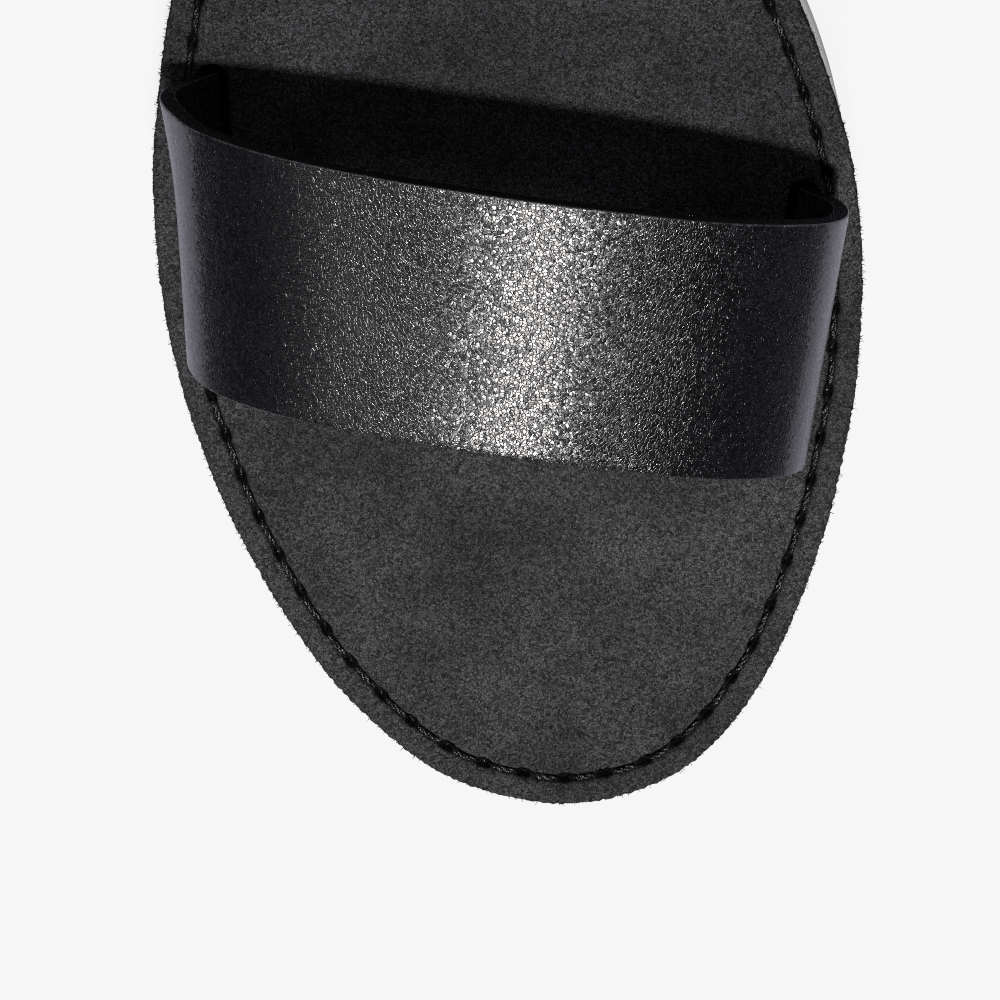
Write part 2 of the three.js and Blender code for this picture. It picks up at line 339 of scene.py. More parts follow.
def footbed_mesh():
    """The leather from its underside, up the cut edge, over the rim and in to the slots."""
    bm = bmesh.new()
    under = -footbed_thickness
    rim = loop_of(bm, [rim_point(index, 0.0003, under) for index in range(rim_count)])
    slot_edges = []
    for line, middle in slot_lines:
        move = slot_move(line, middle, 0, under)
        slot_edges.append(loop_of(bm, [move(index) for index in range(len(line))]))
    under_edges = rim + slot_edges[0] + slot_edges[1]
    cut_rows = [
        # inset, height
        (0.0, -0.0037),
        (0.0, -0.0028),
        (0.00003, -0.0018),
        (0.0, -0.0010),
        (0.00005, -0.0005),
        (0.00015, -0.00022),
        (0.00036, -0.00006),
    ]
    for inset, height in cut_rows:

        def cut(index, inset=inset, height=height):
            return rim_point(index, inset + edge_wander(index * rim_length / rim_count, height), height)

        rim = raise_loop(bm, rim, cut)
    outer_rows = [0.0006 + 0.0005 * row for row in range(5)]
    groove_rows = [0.0028 + 0.00013 * row for row in range(11)]
    for inset in outer_rows + groove_rows + [rim_width]:

        def dress(index, inset=inset):
            return rim_point(index, inset, rim_relief(index * rim_length / rim_count, inset))

        rim = raise_loop(bm, rim, dress)
    slot_rows = [
        # grow, height
        (0.0, -0.0035),
        (0.00002, -0.0008),
        (0.00006, -0.0003),
        (0.00016, -0.0001),
        (0.00032, 0),
    ]
    for number, (line, middle) in enumerate(slot_lines):
        for grow, height in slot_rows:
            move = slot_move(line, middle, grow, height)
            slot_edges[number] = raise_loop(bm, slot_edges[number], move)
    fill_face(bm, rim + slot_edges[0] + slot_edges[1], seat_height)
    fill_face(bm, under_edges, lambda y: seat_height(y) + under)
    # How deep each point lies below the seat, for the painted shade that the material adds with depth.
    hollow = bm.verts.layers.float.new("hollow")
    for vert in bm.verts:
        vert[hollow] = seat_height(vert.co.y) - vert.co.z
    return bm


def node_material(name):
    """A new material, with its nodes, links and shader."""
    material = bpy.data.materials.new(name)
    material.use_nodes = True
    nodes = material.node_tree.nodes
    return material, nodes, material.node_tree.links, nodes["Principled BSDF"]


def add_node(nodes, kind, **values):
    """A new node with the given settings and plain input values."""
    node = nodes.new(kind)
    for key, value in values.items():
        if hasattr(node, key):
            setattr(node, key, value)
        else:
            node.inputs[key.replace("_", " ")].default_value = value
    return node


def group_with(name, inputs, outputs):
    """A shader node group with float and vector sockets by name."""
    group = bpy.data.node_groups.new(name, "ShaderNodeTree")
    for label, kind, value in inputs:
        socket = group.interface.new_socket(label, in_out="INPUT", socket_type=kind)
        if value is not None:
            socket.default_value = value
    for label, kind in outputs:
        group.interface.new_socket(label, in_out="OUTPUT", socket_type=kind)
    source = group.nodes.new("NodeGroupInput")
    sink = group.nodes.new("NodeGroupOutput")
    return group, group.nodes, group.links, source, sink


def make_grain_group():
    """Leather grain: tiny facets that each lean their own way, creases between them, wrinkles.

    Height is for a Bump node; the second output is a painted shade, dark in the creases, times a random
    tone for each facet; Tone is a slow mottle.
    """
    group, nodes, links, source, sink = group_with(
        "leather grain",
        [
            ("Position", "NodeSocketVector", None),
            ("Cells", "NodeSocketFloat", 2600.0),
            ("Lean", "NodeSocketFloat", 0.12),
            ("Crease", "NodeSocketFloat", 0.00002),
            ("Wrinkle", "NodeSocketFloat", 0.0),
        ],
        [
            ("Height", "NodeSocketFloat"),
            ("Crease shade and tone", "NodeSocketFloat"),
            ("Tone", "NodeSocketFloat"),
        ],
    )
    place = source.outputs["Position"]
    wander = add_node(nodes, "ShaderNodeTexNoise", Scale=1100.0, Detail=1.0)
    links.new(place, wander.inputs["Vector"])
    pushed = add_node(nodes, "ShaderNodeVectorMath", operation="MULTIPLY_ADD")
    links.new(wander.outputs["Color"], pushed.inputs[0])
    pushed.inputs[1].default_value = (0.0006, 0.0006, 0.0006)
    links.new(place, pushed.inputs[2])
    facet = add_node(nodes, "ShaderNodeTexVoronoi", feature="F1")
    links.new(pushed.outputs[0], facet.inputs["Vector"])
    links.new(source.outputs["Cells"], facet.inputs["Scale"])
    inside = add_node(nodes, "ShaderNodeVectorMath", operation="SUBTRACT")
    links.new(pushed.outputs[0], inside.inputs[0])
    links.new(facet.outputs["Position"], inside.inputs[1])
    way = add_node(nodes, "ShaderNodeVectorMath", operation="SUBTRACT")
    links.new(facet.outputs["Color"], way.inputs[0])
    way.inputs[1].default_value = (0.5, 0.5, 0.5)
    slope = add_node(nodes, "ShaderNodeVectorMath", operation="DOT_PRODUCT")
    links.new(inside.outputs[0], slope.inputs[0])
    links.new(way.outputs[0], slope.inputs[1])
    steepness = add_node(nodes, "ShaderNodeVectorMath", operation="DOT_PRODUCT")
    links.new(way.outputs[0], steepness.inputs[0])
    links.new(way.outputs[0], steepness.inputs[1])
    more = add_node(nodes, "ShaderNodeMath", operation="MULTIPLY_ADD")
    links.new(steepness.outputs["Value"], more.inputs[0])
    more.inputs[1].default_value = 1.0
    more.inputs[2].default_value = 0.75
    few_steep = add_node(nodes, "ShaderNodeMath", operation="MULTIPLY")
    links.new(slope.outputs["Value"], few_steep.inputs[0])
    links.new(more.outputs[0], few_steep.inputs[1])
    leaning = add_node(nodes, "ShaderNodeMath", operation="MULTIPLY")
    links.new(few_steep.outputs[0], leaning.inputs[0])
    links.new(source.outputs["Lean"], leaning.inputs[1])
    gap = add_node(nodes, "ShaderNodeTexVoronoi", feature="DISTANCE_TO_EDGE")
    links.new(pushed.outputs[0], gap.inputs["Vector"])
    links.new(source.outputs["Cells"], gap.inputs["Scale"])
    rise = add_node(nodes, "ShaderNodeMapRange", interpolation_type="SMOOTHSTEP")
    rise.inputs["From Max"].default_value = 0.13
    links.new(gap.outputs["Distance"], rise.inputs["Value"])
    height = add_node(nodes, "ShaderNodeMath", operation="MULTIPLY_ADD")
    links.new(rise.outputs["Result"], height.inputs[0])
    links.new(source.outputs["Crease"], height.inputs[1])
    links.new(leaning.outputs[0], height.inputs[2])
    patches = add_node(nodes, "ShaderNodeTexNoise", Scale=60.0, Detail=6.0, Roughness=0.65)
    links.new(place, patches.inputs["Vector"])
    links.new(patches.outputs["Fac"], sink.inputs["Tone"])
    fold = add_node(nodes, "ShaderNodeTexNoise", Scale=190.0, Detail=2.0, Distortion=0.6)
    links.new(place, fold.inputs["Vector"])
    line = add_node(nodes, "ShaderNodeMath", operation="COMPARE")
    links.new(fold.outputs["Fac"], line.inputs[0])
    line.inputs[1].default_value = 0.5
    line.inputs[2].default_value = 0.012
    in_places = add_node(nodes, "ShaderNodeMapRange", interpolation_type="SMOOTHSTEP")
    in_places.inputs["From Min"].default_value = 0.46
    in_places.inputs["From Max"].default_value = 0.6
    links.new(patches.outputs["Fac"], in_places.inputs["Value"])
    folded = add_node(nodes, "ShaderNodeMath", operation="MULTIPLY")
    links.new(line.outputs[0], folded.inputs[0])
    links.new(in_places.outputs["Result"], folded.inputs[1])
    deep = add_node(nodes, "ShaderNodeMath", operation="MULTIPLY_ADD")
    links.new(folded.outputs[0], deep.inputs[0])
    links.new(source.outputs["Wrinkle"], deep.inputs[1])
    links.new(height.outputs[0], deep.inputs[2])
    links.new(deep.outputs[0], sink.inputs["Height"])
    parts = add_node(nodes, "ShaderNodeSeparateColor")
    links.new(facet.outputs["Color"], parts.inputs["Color"])
    uneven = add_node(nodes, "ShaderNodeMapRange")
    uneven.inputs["To Min"].default_value = 0.35
    uneven.inputs["To Max"].default_value = 1.65
    links.new(parts.outputs["Red"], uneven.inputs["Value"])
    # Painted shade in the creases, times each facet's random tone.
    crease_shade_and_tone = add_node(nodes, "ShaderNodeMath", operation="MULTIPLY")
    links.new(rise.outputs["Result"], crease_shade_and_tone.inputs[0])
    links.new(uneven.outputs["Result"], crease_shade_and_tone.inputs[1])
    links.new(crease_shade_and_tone.outputs[0], sink.inputs["Crease shade and tone"])
    return group


grain_group = make_grain_group()


def leather_material(name, dark, light, cells, lean, crease, rough, shine, wrinkle=0.0):
    """Black leather: a mottled dark tone, with grain that breaks up its gloss.

    Cells is how many facets lie in a metre, lean how steep they are, and crease and wrinkle
    are depths in metres.
    """
    material, nodes, links, skin = node_material(name)
    where = add_node(nodes, "ShaderNodeTexCoord")
    grain = add_node(nodes, "ShaderNodeGroup", node_tree=grain_group)
    grain.inputs["Cells"].default_value = cells
    grain.inputs["Lean"].default_value = lean
    grain.inputs["Crease"].default_value = crease
    grain.inputs["Wrinkle"].default_value = wrinkle
    links.new(where.outputs["Object"], grain.inputs["Position"])
    tone = add_node(nodes, "ShaderNodeMapRange")
    tone.inputs["From Min"].default_value = 0.35
    tone.inputs["From Max"].default_value = 0.65
    links.new(grain.outputs["Tone"], tone.inputs["Value"])
    colour = add_node(nodes, "ShaderNodeMix", data_type="RGBA")
    colour.inputs["A"].default_value = (*dark, 1)
    colour.inputs["B"].default_value = (*light, 1)
    links.new(tone.outputs["Result"], colour.inputs["Factor"])
    # The colour is painted darker in the grain's creases: painted shade, with a random tone for each
    # facet.
    sunk = add_node(nodes, "ShaderNodeMapRange")
    sunk.clamp = False
    sunk.inputs["To Min"].default_value = 0.05
    sunk.inputs["To Max"].default_value = 1.3
    links.new(grain.outputs["Crease shade and tone"], sunk.inputs["Value"])
    crease_shaded_colour = add_node(nodes, "ShaderNodeVectorMath", operation="SCALE")
    links.new(colour.outputs["Result"], crease_shaded_colour.inputs[0])
    links.new(sunk.outputs["Result"], crease_shaded_colour.inputs["Scale"])
    links.new(crease_shaded_colour.outputs[0], skin.inputs["Base Color"])
    gloss = add_node(nodes, "ShaderNodeMapRange")
    gloss.inputs["To Min"].default_value = rough - 0.05
    gloss.inputs["To Max"].default_value = rough + 0.05
    links.new(grain.outputs["Tone"], gloss.inputs["Value"])
    links.new(gloss.outputs["Result"], skin.inputs["Roughness"])
    relief = add_node(nodes, "ShaderNodeBump", Strength=1.0, Distance=1.0)
    links.new(grain.outputs["Height"], relief.inputs["Height"])
    links.new(relief.outputs["Normal"], skin.inputs["Normal"])
    skin.inputs["Specular IOR Level"].default_value = shine
    return material


def paint_hollow_shade(material, shade_start_depth, full_shade_depth):
    """Painted shade: the deeper a point lies below the leather's top, in the groove, the stitch holes,
    the slot walls and down the cut edge, the darker its colour and the duller its gloss.
    """
    nodes, links = material.node_tree.nodes, material.node_tree.links
    skin = nodes["Principled BSDF"]
    depth = add_node(nodes, "ShaderNodeAttribute", attribute_name="hollow")
    lit_share = add_node(nodes, "ShaderNodeMapRange")
    lit_share.inputs["From Min"].default_value = shade_start_depth
    lit_share.inputs["From Max"].default_value = full_shade_depth
    lit_share.inputs["To Min"].default_value = 1.0
    lit_share.inputs["To Max"].default_value = 0.2
    links.new(depth.outputs["Fac"], lit_share.inputs["Value"])
    colour_link = skin.inputs["Base Color"].links[0]
    # Painted shade: the colour is scaled down with depth.
    shaded_colour = add_node(nodes, "ShaderNodeVectorMath", operation="SCALE")
    links.new(colour_link.from_socket, shaded_colour.inputs[0])
    links.new(lit_share.outputs["Result"], shaded_colour.inputs["Scale"])
    links.new(shaded_colour.outputs[0], skin.inputs["Base Color"])
    gloss_link = skin.inputs["Roughness"].links[0]
    duller = add_node(nodes, "ShaderNodeMix", data_type="FLOAT")
    links.new(lit_share.outputs["Result"], duller.inputs["Factor"])
    duller.inputs["A"].default_value = 1.0
    links.new(gloss_link.from_socket, duller.inputs["B"])
    links.new(duller.outputs["Result"], skin.inputs["Roughness"])


footbed_leather = leather_material(
    "footbed leather",
    dark=(0.0165, 0.0169, 0.0178),
    light=(0.035, 0.0355, 0.0368),
    cells=3600.0,
    lean=0.55,
    crease=0.00001,
    rough=0.8,
    shine=0.08,
    wrinkle=0.00002,
)
# Painted shade in the footbed's groove, holes, slot walls and cut edge, darker with depth.
paint_hollow_shade(footbed_leather, shade_start_depth=0.00025, full_shade_depth=0.0007)
footbed = new_mesh("footbed_leather", footbed_mesh(), [footbed_leather])
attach(footbed, "root")
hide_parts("footbed")

# Strap. One straight strip of 2 mm smooth black leather, its long edges cut raw. It arches
# over the foot, and each end goes down through its slot and is folded in under the footbed.
strap_crown = 0.037
strap_cone_drop = 0.004
strap_lean = 0.0012
strap_twist = -0.001
corner_flare = 0.0013
flare_height = 0.33
edge_zone = 0.08
edge_unevenness = 0.0035
strap_tab = 0.016
strap_tab_room = 0.0003
arch_rows = [
    # out, up, slant
    (1.000, 0.00, 1.00),
    (1.035, 0.08, 0.97),
    (1.075, 0.20, 0.92),
    (1.090, 0.36, 0.85),
    (1.070, 0.53, 0.80),
    (1.000, 0.69, 0.76),
    (0.860, 0.82, 0.74),
    (0.640, 0.92, 0.73),
    (0.340, 0.98, 0.73),
]
arch_crown = (0.0, 1.0, 0.73)
strap_steps = 300
leg_lines = []
for side, station, inset, toe_in in leg_rows:
    turn = math.radians(toe_in)
    middle = Vector((edge_x(side, station) - side * inset, (station - 0.5) * sole_length, 0))
    leg_lines.append((middle, Vector((side * math.sin(turn), math.cos(turn), 0))))


def wall_point(place, across):
    """A point in the middle of the strap's wall, across from its toe edge to its heel edge."""
    out, up, slant, shift, drop = place
    outer, inner = (middle + heelward * (across * strap_width) for middle, heelward in leg_lines)
    middle, half = (outer + inner) / 2, (inner - outer) / 2
    point = middle + half * out
    point.y = middle.y + half.y * out * slant + strap_lean * up
    point -= half.normalized() * (math.copysign(1, out) * shift)
    point.z = seat_height(point.y) + (strap_crown + strap_cone_drop * across) * up - drop
    point.z -= strap_twist * across * out * up
    if out < 0:
        flare = max(0, across) * 2 * bell(up - flare_height, 0.22)
        point -= half.normalized() * (corner_flare * flare**2)
    return point


def hidden_end(side):
    """The path of a strap end: flat under the footbed, then a quarter turn up into its slot."""
    radius = strap_thickness / 2 + slot_play
    low = footbed_thickness + strap_tab_room + strap_thickness / 2
    path = [(side, 0, 1, strap_thickness / 2 + strap_tab, low)]
    for step in range(9):
        turn = step / 8 * math.pi / 2
        path.append((side, 0, 1, radius * (1 - math.sin(turn)), low - radius * (1 - math.cos(turn))))
    return path


def arch_path():
    """The path of the strap over the foot, from the outer slot to the inner one."""
    rows = [(-out, up, slant) for out, up, slant in arch_rows] + [arch_crown] + arch_rows[::-1]
    points = [Vector(row) for row in rows]
    ends = (points[0] * 2 - points[1], points[-1] * 2 - points[-2])
    line = smooth_closed([ends[0]] + points + [ends[1]], 24)
    return [(*point, 0, 0) for point in line[24 : 24 * len(points) + 1]]


def even_path(path, steps):
    """The same path with its places spread evenly along the leather."""
    spots = np.array([wall_point(place, 0) for place in path])
    lengths = np.concatenate(([0], np.cumsum(np.linalg.norm(np.diff(spots, axis=0), axis=1))))
    wanted = np.linspace(0, lengths[-1], steps + 1)
    columns = [np.interp(wanted, lengths, column) for column in np.array(path, float).T]
    return [tuple(float(value) for value in place) for place in zip(*columns)]


strap_path = even_path(hidden_end(-1) + arch_path() + hidden_end(1)[::-1], strap_steps)


def strap_mesh():
    """A grid bent along the strap's path, its long edges cut very slightly uneven."""
    bm = bmesh.new()
    bmesh.ops.create_grid(bm, x_segments=strap_steps, y_segments=36, size=0.5)
    for vert in bm.verts:
        step = round((vert.co.x + 0.5) * strap_steps)
        across = vert.co.y
        near_edge = max(0, abs(across) - 0.5 + edge_zone) / edge_zone
        across += edge_unevenness * near_edge * noise.noise(Vector((step * 0.05, across * 9, 2.0)))
        vert.co = wall_point(strap_path[step], across)
    return bm


strap_leather = leather_material(
    "strap leather",
    dark=(0.003, 0.003, 0.0038),
    light=(0.0045, 0.0045, 0.0056),
    cells=2600.0,
    lean=0.105,
    crease=0.000012,
    rough=0.19,
    shine=0.5,
)
flesh_leather = leather_material(
    "leather flesh side",
    dark=(0.010, 0.0095, 0.0135),
    light=(0.017, 0.0165, 0.0225),
    cells=1800.0,
    lean=0.8,
    crease=0.0001,
    rough=0.85,
    shine=0.1,
)
cut_leather = leather_material(
    "cut leather edge",
    dark=(0.0015, 0.0015, 0.0018),
    light=(0.0035, 0.0035, 0.0042),
    cells=2200.0,
    lean=0.8,
    crease=0.0001,
    rough=0.8,
    shine=0.06,
)
# The eased edge along the strap's cuts is glossy and burnished, and lighter in colour than the strap: a
# painted highlight line along its edges.
burnished_highlight_leather = leather_material(
    "burnished edge with painted highlight",
    dark=(0.012, 0.012, 0.013),
    light=(0.03, 0.03, 0.032),
    cells=2600.0,
    lean=0.3,
    crease=0.00001,
    rough=0.35,
    shine=0.3,
)
strap_skins = [strap_leather, flesh_leather, cut_leather, burnished_highlight_leather]
strap = new_mesh("strap_leather", strap_mesh(), strap_skins)
wall = strap.modifiers.new("wall", "SOLIDIFY")
wall.thickness = strap_thickness
wall.offset = 0
wall.use_even_offset = True
wall.material_offset = 1
wall.material_offset_rim = 2
ease = strap.modifiers.new("eased edge", "BEVEL")
ease.width = 0.00017
ease.segments = 3
# The eased edge takes the lighter burnished skin, a painted highlight line.
ease.material = 3
ease.limit_method = "ANGLE"
ease.angle_limit = math.radians(50)
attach(strap, "root")
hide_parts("strap")

# Outsole. Pale grey rubber moulded in one piece, with a low heel, a lifted arch and a toe
# spring. It is glued and stitched under the footbed, over the strap's folded ends.
outsole_round = 0.0012
medial_lip_rows = [(0, -3), (0.324, -3), (0.352, 1.8), (0.372, 4.8), (0.41, 6), (0.56, 2), (1, 2)]
lateral_lip_rows = [(0, -3), (0.40, -3), (0.43, 2), (1, 2)]
lip_unit = 0.0001
pocket_room = 0.0003
spring_ground = 0.0052
arch_ground = 0.0024
ground_arch_rows = [(0, 0), (0.38, 0), (0.46, 0.4), (0.56, 1), (0.66, 0.7), (0.74, 0), (1, 0)]
glue_line = 0.00005
tread_margin = 0.0042
tread_pitch = 0.0050
tread_width = 0.0016
tread_depth = 0.0008
tread_runs = [(0.13, 0.38), (0.78, 0.93)]


def ground_height(y):
    """How far the outsole's underside is off the floor."""
    station = station_at(y)
    spring = spring_ground * smooth_rows(spring_rows, station)
    return spring + arch_ground * smooth_rows(ground_arch_rows, station)


def ground_point(index, inset, height):
    place, way = rim_places[index]
    point = place + way * inset
    point.z = ground_height(point.y) + height
    return point


def lip_at(index):
    """How far the outsole stands out past the leather, which overhangs it at the forefoot."""
    place = rim_places[index][0]
    rows = medial_lip_rows if place.x > 0 else lateral_lip_rows
    return lip_unit * smooth_rows(rows, station_at(place.y))


def pocket_corner(side, index, shift, drop):
    """A corner of the room for a folded strap end: outer side, then inner side, toe to heel."""
    across = (0.5 + pocket_room / strap_width) * (-1, 1, 1, -1)[index]
    inward = shift if index < 2 else strap_thickness / 2 + strap_tab + pocket_room
    return wall_point((side, 0, 1, inward, drop), across)


def pocket_walls(bm, side, top):
    """The pocket's edge in the outsole's top, and its walls down to the edge of its floor."""
    bend = strap_thickness / 2 + slot_play
    centre = footbed_thickness + strap_tab_room + strap_thickness / 2 - bend
    radius = bend + strap_thickness / 2 + pocket_room
    first = math.asin((top - centre) / radius)
    rim = wall = None
    for step in range(6):
        turn = first + (math.pi / 2 - first) * step / 5
        shift, drop = bend - radius * math.cos(turn), centre + radius * math.sin(turn)
        if rim is None:
            rim = wall = loop_of(bm, [pocket_corner(side, index, shift, drop) for index in range(4)])
        else:
            wall = raise_loop(bm, wall, lambda index: pocket_corner(side, index, shift, drop))
    return rim, wall, centre + radius


def cut_tread(bm, number):
    """Sinks shallow cross grooves into the ground face, clear of its edge."""
    mark = bm.faces.layers.int["filling"]
    for low, high in tread_runs:
        first, last = (low - 0.5) * sole_length, (high - 0.5) * sole_length
        for step in range(round((last - first) / tread_pitch)):
            middle = first + (step + 0.5) * tread_pitch
            for edge in (-tread_width / 2, tread_width / 2):
                faces = [face for face in bm.faces if face[mark] == number]
                geom = {part for face in faces for part in (face, *face.edges, *face.verts)}
                spot, along = Vector((0, middle + edge, 0)), Vector((0, 1, 0))
                bmesh.ops.bisect_plane(bm, geom=list(geom), dist=1e-7, plane_co=spot, plane_no=along)
            faces = [face for face in bm.faces if face[mark] == number]
            reach = tread_width / 2
            strip = [face for face in faces if abs(face.calc_center_median().y - middle) < reach]
            sunk = bmesh.ops.extrude_face_region(bm, geom=strip)["geom"]
            covers = [face for face in strip if face.is_valid]
            bmesh.ops.delete(bm, geom=covers, context="FACES")
            verts = [part for part in sunk if isinstance(part, bmesh.types.BMVert)]
            bmesh.ops.translate(bm, vec=Vector((0, 0, tread_depth)), verts=verts)
            for part in sunk:
                if isinstance(part, bmesh.types.BMFace):
                    part[mark] = 0


def outsole_mesh():
    """The rubber from the ground up: rounded lower edge, wall, top, pockets and tread."""
    bm = bmesh.new()
    rim = loop_of(bm, [ground_point(index, tread_margin, 0) for index in range(rim_count)])
    ground_edges = rim
    rim = raise_loop(bm, rim, lambda index: ground_point(index, outsole_round - lip_at(index), 0))
    for step in range(1, 5):
        turn = step / 4 * math.pi / 2
        inset = outsole_round * (1 - math.sin(turn))
        height = outsole_round * (1 - math.cos(turn))
        rim = raise_loop(bm, rim, lambda index: ground_point(index, inset - lip_at(index), height))
    top = -footbed_thickness - glue_line
    for inset, height in ((-0.00005, top - 0.0004), (0.0002, top), (0.0016, top)):
        rim = raise_loop(bm, rim, lambda index: rim_point(index, inset - min(0, lip_at(index)), height))
    rooms = [pocket_walls(bm, side, -top) for side in (-1, 1)]
    fill_face(bm, rim + rooms[0][0] + rooms[1][0], lambda y: seat_height(y) + top)
    for edges, floor_edges, depth in rooms:
        fill_face(bm, floor_edges, lambda y: seat_height(y) - depth)
    fill_face(bm, ground_edges, ground_height)
    mark = bm.faces.layers.int["filling"]
    cut_tread(bm, max(face[mark] for face in bm.faces))
    return bm


def rubber_material():
    """Pale rubber: slightly uneven in colour, with a fine moulded matt surface."""
    material, nodes, links, skin = node_material("pale outsole rubber")
    where = add_node(nodes, "ShaderNodeTexCoord")
    fine = add_node(nodes, "ShaderNodeTexNoise", Scale=1500.0, Detail=3.0)
    links.new(where.outputs["Object"], fine.inputs["Vector"])
    broad = add_node(nodes, "ShaderNodeTexNoise", Scale=45.0, Detail=4.0)
    links.new(where.outputs["Object"], broad.inputs["Vector"])
    colour = add_node(nodes, "ShaderNodeMix", data_type="RGBA")
    colour.inputs["A"].default_value = (0.60, 0.595, 0.54, 1)
    colour.inputs["B"].default_value = (0.70, 0.695, 0.63, 1)
    links.new(broad.outputs["Fac"], colour.inputs["Factor"])
    links.new(colour.outputs["Result"], skin.inputs["Base Color"])
    skin.inputs["Roughness"].default_value = 0.7
    relief = add_node(nodes, "ShaderNodeBump")
    relief.inputs["Distance"].default_value = 0.00005
    links.new(fine.outputs["Fac"], relief.inputs["Height"])
    links.new(relief.outputs["Normal"], skin.inputs["Normal"])
    return material


outsole = new_mesh("outsole_rubber", outsole_mesh(), [rubber_material()])
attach(outsole, "root")
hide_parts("outsole")

# Stitching. Thick waxed black thread of two plies. Each stitch comes up through one hole,
# lies in the groove, and goes down through the next one.
thread_radius = 0.00038
thread_twist = 0.0023
thread_low = 0.0019
thread_low_run = 0.0011
thread_sunk = 0.00030
thread_offset = 0.00006
thread_steps = 26
ply_radius = 0.62 * thread_radius


def stitch_height(along):
    """How deep the thread's middle lies below the leather round it, along one stitch."""
    from_end = min(along, 1 - along) * stitch_length
    return -thread_sunk - thread_low * bell(from_end, thread_low_run)


def thread_curve():
    """Two plies twisted round each other, one short curve for each ply of each stitch."""
    curve = bpy.data.curves.new("waxed thread", "CURVE")
    curve.dimensions = "3D"
    curve.use_fill_caps = True
    curve.bevel_depth = ply_radius
    curve.bevel_resolution = 1
    for stitch in range(stitch_count):
        for ply in range(2):
            spline = curve.splines.new("POLY")
            spline.points.add(thread_steps)
            for step in range(thread_steps + 1):
                along = step / thread_steps
                distance = (stitch + along) / stitch_count * rim_length
                place, way = rim_place(distance)
                slack = noise.noise(Vector((distance * 420, ply * 7.0, 4.4)))
                turn = 2 * math.pi * distance / thread_twist + ply * math.pi + slack
                inset = groove_at(distance) - thread_offset
                inset += thread_radius * (0.5 * math.cos(turn) + 0.4 * slack)
                point = place + way * inset
                point.z = seat_height(point.y) + stitch_height(along)
                point.z += thread_radius * (0.5 * math.sin(turn) + 0.3 * slack)
                spline.points[step].co = (*point, 1)
                spline.points[step].radius = 1 + 0.35 * slack
    return curve


def thread_material():
    """Waxed thread: near black, shiny, with fine fibres in its surface."""
    material, nodes, links, skin = node_material("waxed black thread")
    where = add_node(nodes, "ShaderNodeTexCoord")
    fibres = add_node(nodes, "ShaderNodeTexNoise", Scale=5200.0, Detail=2.0)
    links.new(where.outputs["Object"], fibres.inputs["Vector"])
    colour = add_node(nodes, "ShaderNodeMix", data_type="RGBA")
    colour.inputs["A"].default_value = (0.002, 0.002, 0.002, 1)
    colour.inputs["B"].default_value = (0.008, 0.008, 0.008, 1)
    links.new(fibres.outputs["Fac"], colour.inputs["Factor"])
    links.new(colour.outputs["Result"], skin.inputs["Base Color"])
    skin.inputs["Roughness"].default_value = 0.24
    relief = add_node(nodes, "ShaderNodeBump")
    relief.inputs["Distance"].default_value = 0.00016
    links.new(fibres.outputs["Fac"], relief.inputs["Height"])
    links.new(relief.outputs["Normal"], skin.inputs["Normal"])
    return material


def mesh_from_curve(name, curve, material):
    """A piece whose mesh is the curve's own tubes."""
    holder = bpy.data.objects.new(name, curve)
    bpy.context.scene.collection.objects.link(holder)
    bpy.context.view_layer.update()
    graph = bpy.context.evaluated_depsgraph_get()
    mesh = bpy.data.meshes.new_from_object(holder.evaluated_get(graph))
    bpy.data.objects.remove(holder)
    mesh.materials.clear()
    mesh.materials.append(material)
    mesh.shade_smooth()
    piece = bpy.data.objects.new(name, mesh)
    bpy.context.scene.collection.objects.link(piece)
    return piece


stitches = mesh_from_curve("stitching", thread_curve(), thread_material())
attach(stitches, "root")

# Edge fibres. Loose fibres of the leather stand out of its raw cuts: all round the footbed,
# along both edges of the strap, and round the two slots.
rim_fibres = 3000
strap_fibres = 900
slot_fibres = 260
fibre_radius = 0.00005


def fibre(curve, start, way, length):
    """One short hair that bends away to one side as it leaves the leather."""
    side = Vector([random.uniform(-1, 1) for axis in range(3)])
    spline = curve.splines.new("POLY")
    spline.points.add(3)
    for step in range(4):
        share = step / 3
        point = start + way * (length * share) + side * (length * 0.7 * share**2)
        spline.points[step].co = (*point, 1)
        spline.points[step].radius = 1 - 0.6 * share


def fibre_curve():
    """All the fibres: round the footbed's cut, along the strap's edges and round the slots."""
    curve = bpy.data.curves.new("leather fibres", "CURVE")
    curve.dimensions = "3D"
    curve.use_fill_caps = True
    curve.bevel_depth = fibre_radius
    curve.bevel_resolution = 0
    for number in range(rim_fibres):
        index = random.randrange(rim_count)
        start = rim_point(index, 0.0001, random.uniform(-0.0020, -0.0004))
        way = -rim_places[index][1]
        fibre(curve, start, way, random.uniform(0.00015, 0.00045) * random.uniform(0.5, 1))
    for number in range(strap_fibres):
        place = strap_path[random.randrange(12, strap_steps - 12)]
        edge = random.choice((-0.5, 0.5))
        start = wall_point(place, edge * 0.997)
        way = (wall_point(place, edge) - wall_point(place, 0)).normalized()
        start += Vector([random.uniform(-0.0006, 0.0006) for axis in range(3)])
        fibre(curve, start, way, random.uniform(0.0001, 0.0004))
    for number in range(slot_fibres):
        line, middle = random.choice(slot_lines)
        index = random.randrange(len(line))
        start = slot_move(line, middle, 0.00012, -0.00015)(index)
        way = (start - slot_move(line, middle, 0.0005, -0.0004)(index)).normalized()
        fibre(curve, start, way, random.uniform(0.00015, 0.0004))
    return curve


fibres = mesh_from_curve("leather_fibres", fibre_curve(), cut_leather)
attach(fibres, "root")

# Camera. It stands behind and above the strap, near upright, and looks down on the forefoot,
# so the heel lies outside the picture.
view_tilt = math.radians(16.3)
view_distance = 0.800
view_target = Vector((-0.00107, -0.08618, 0.012))
view_lens = 230.5

